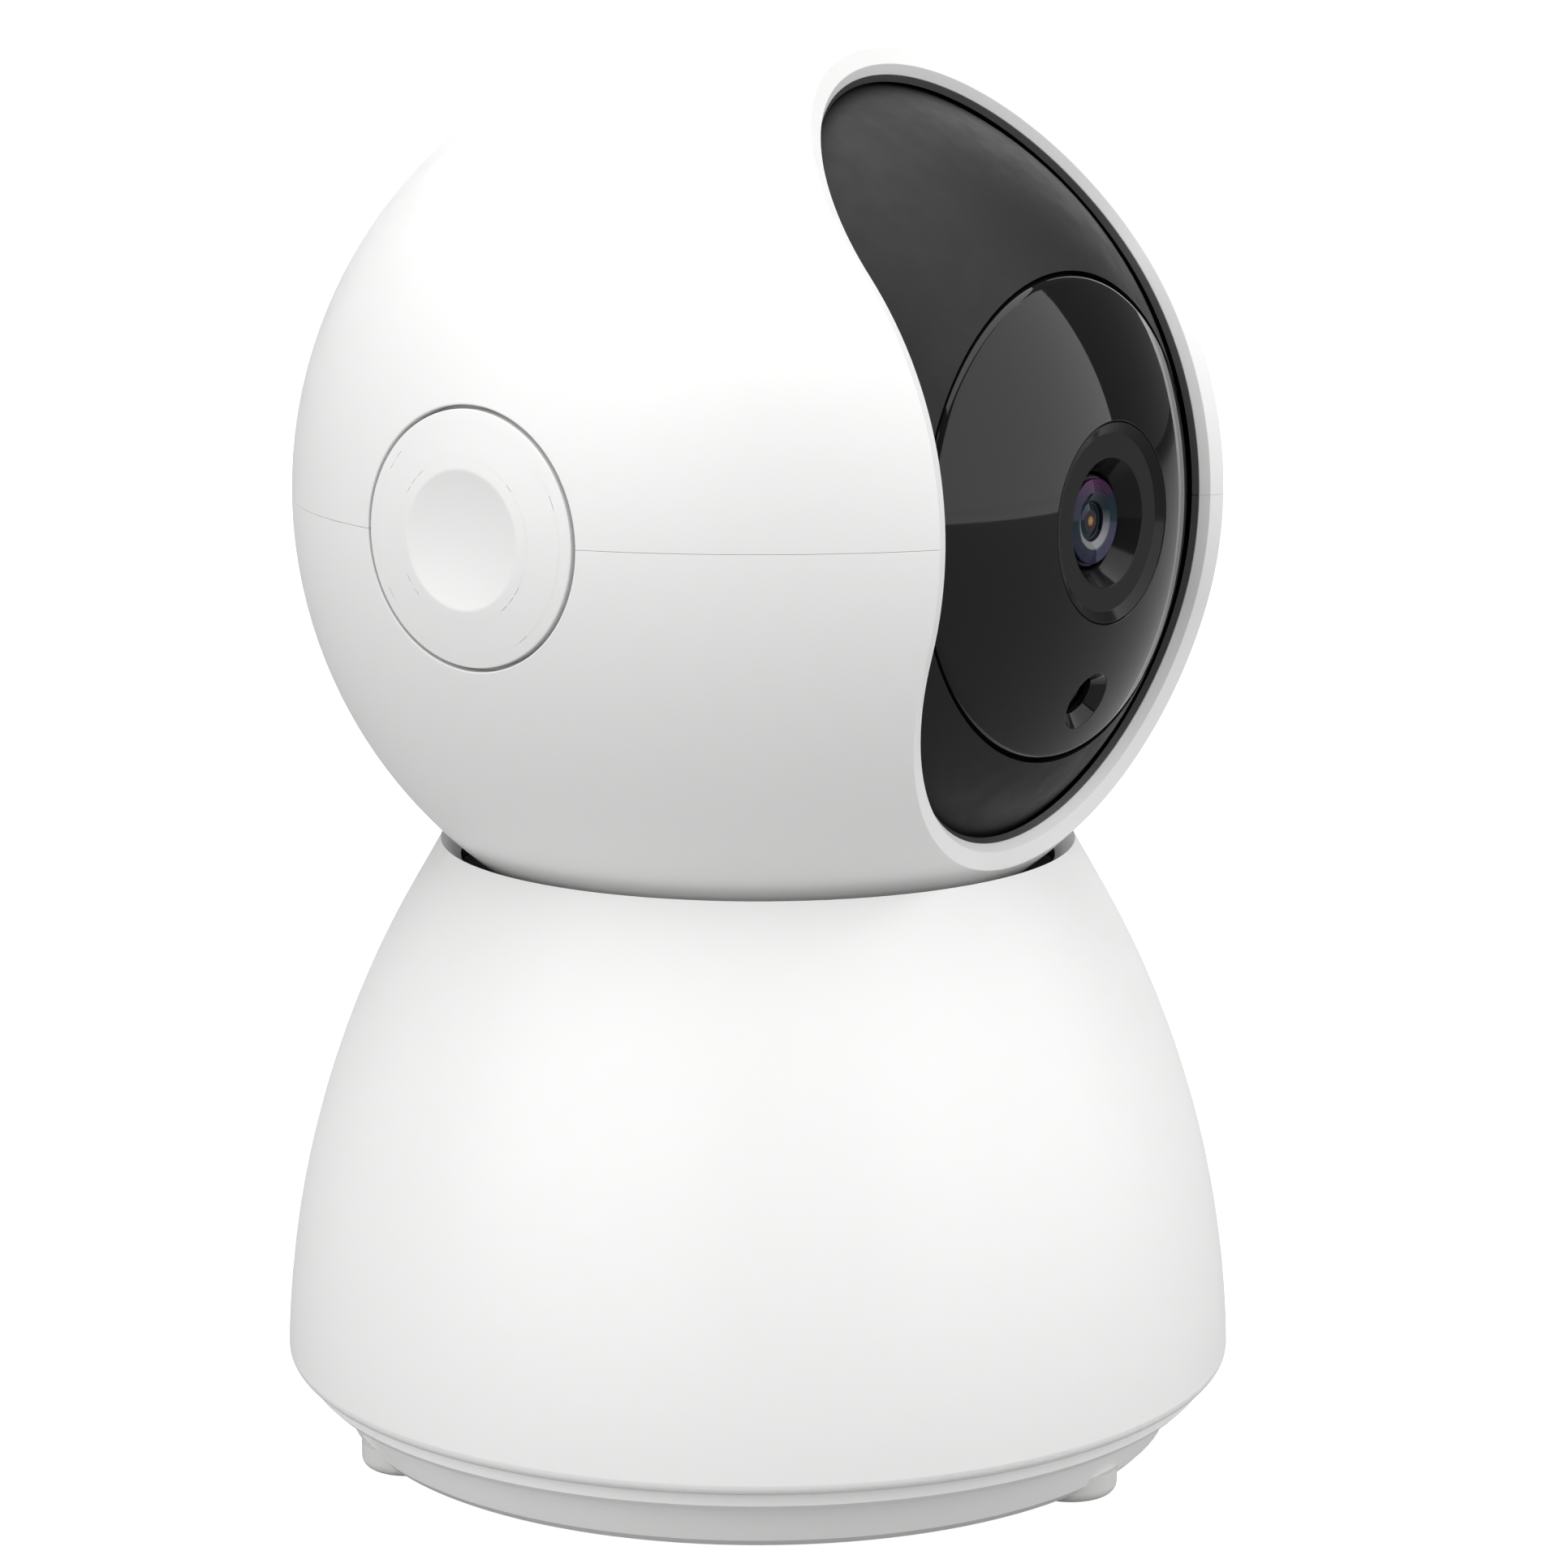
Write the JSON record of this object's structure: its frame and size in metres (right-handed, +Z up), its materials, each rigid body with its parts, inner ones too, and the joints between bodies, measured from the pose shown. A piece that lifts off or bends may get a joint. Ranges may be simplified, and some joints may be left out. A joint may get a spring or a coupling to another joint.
{
  "type": "pan and tilt security camera",
  "caption": "Desktop security camera: round white head with a tilting black lens ball in a front slot, turning on a domed base with rubber feet.",
  "frame": {"origin": "centre of the footprint, on the surface under the feet", "axes": "+Z up, the longest extent and the pan axis; the lens looks along -Y; the tilt axis is parallel to X through the centre of the head"},
  "size_m": [0.0814, 0.0813, 0.1203],
  "materials": {
    "white_shell": "satin moulded",
    "black_matte": "fine matte",
    "black_gloss": "polished",
    "dark_plastic": "moulded",
    "lens_glass": "coated",
    "lens_metal": "black anodised",
    "board": "solder mask",
    "chip": "moulded package",
    "led": "tinted resin",
    "steel": "rolled",
    "screw_steel": "zinc plated",
    "brass": "turned",
    "gear_nylon": "moulded nylon",
    "bush_plastic": "acetal",
    "grey_rubber": "soft",
    "chrome": "plated"
  },
  "bodies": {
    "base": {"base_shell": "white_shell", "rear_port_panel": "white_shell", "bottom_cover": "white_shell", "rubber_feet": "grey_rubber", "base_screws": "screw_steel", "neck_bowl": "dark_plastic", "pan_bush": "bush_plastic", "motor_plate": "steel", "plate_screws": "screw_steel", "pan_motor": "steel", "ballast_plate": "steel", "speaker": "dark_plastic", "main_pcb": "board", "usb_socket": "chrome", "card_socket": "steel", "reset_switch": "chip", "wifi_antenna": "board"},
    "head": {"head_shell_upper": "white_shell", "head_shell_lower": "white_shell", "rim_liner_upper": "black_gloss", "rim_liner_lower": "black_gloss", "side_cap_right": "white_shell", "side_cap_left": "white_shell", "tilt_bracket_right": "dark_plastic", "tilt_bracket_left": "dark_plastic", "tilt_bush_right": "bush_plastic", "tilt_bush_left": "bush_plastic", "tilt_gear": "gear_nylon", "shell_dowels": "steel", "head_screws": "screw_steel", "pan_spindle": "dark_plastic", "pan_gear": "gear_nylon", "spindle_clip": "steel"},
    "eye": {"tilt_trunnion_right": "dark_plastic", "tilt_trunnion_left": "dark_plastic", "eye_front_shell": "black_matte", "eye_rear_shell": "black_matte", "eye_screws": "screw_steel", "front_panel": "black_gloss", "lens_bezel": "black_gloss", "lens_barrel": "lens_metal", "lens_glass": "lens_glass", "lens_mount": "dark_plastic", "camera_pcb": "board", "image_sensor": "chip", "ir_led_board": "board", "ir_leds": "led", "light_sensor": "chip", "tilt_motor": "steel"},
    "pan_pinion": {"pan_motor_shaft": "steel", "pan_pinion": "brass"},
    "tilt_pinion": {"tilt_motor_shaft": "steel", "tilt_pinion": "brass"},
    "reset_button": {"reset_button": "dark_plastic"}
  },
  "joints": [
    {"name": "pan", "type": "hinge", "parent": "base", "child": "head", "pos_m": [0, 0, 0.0813], "axis": [0, 0, 1], "range_deg": [-177.5, 177.5]},
    {"name": "tilt", "type": "hinge", "parent": "head", "child": "eye", "pos_m": [0, 0, 0.0813], "axis": [-1, 0, 0], "range_deg": [-32, 56]},
    {"name": "pan_pinion_spin", "type": "hinge", "parent": "base", "child": "pan_pinion", "pos_m": [0, -0.0156, 0.0288], "axis": [0, 0, 1], "range_deg": [-600, 600]},
    {"name": "tilt_pinion_spin", "type": "hinge", "parent": "eye", "child": "tilt_pinion", "pos_m": [-0.0234, 0.0132, 0.0813], "axis": [-1, 0, 0], "range_deg": [-90, 155]},
    {"name": "reset_press", "type": "slide", "parent": "base", "child": "reset_button", "axis": [0, -1, 0], "range_m": [0, 0.0005], "stiffness_N_per_m": 400}
  ],
  "couplings": [
    {"joint": "pan_pinion_spin", "follows": "pan", "ratio": -3.3333},
    {"joint": "tilt_pinion_spin", "follows": "tilt", "ratio": 2.6667}
  ]
}
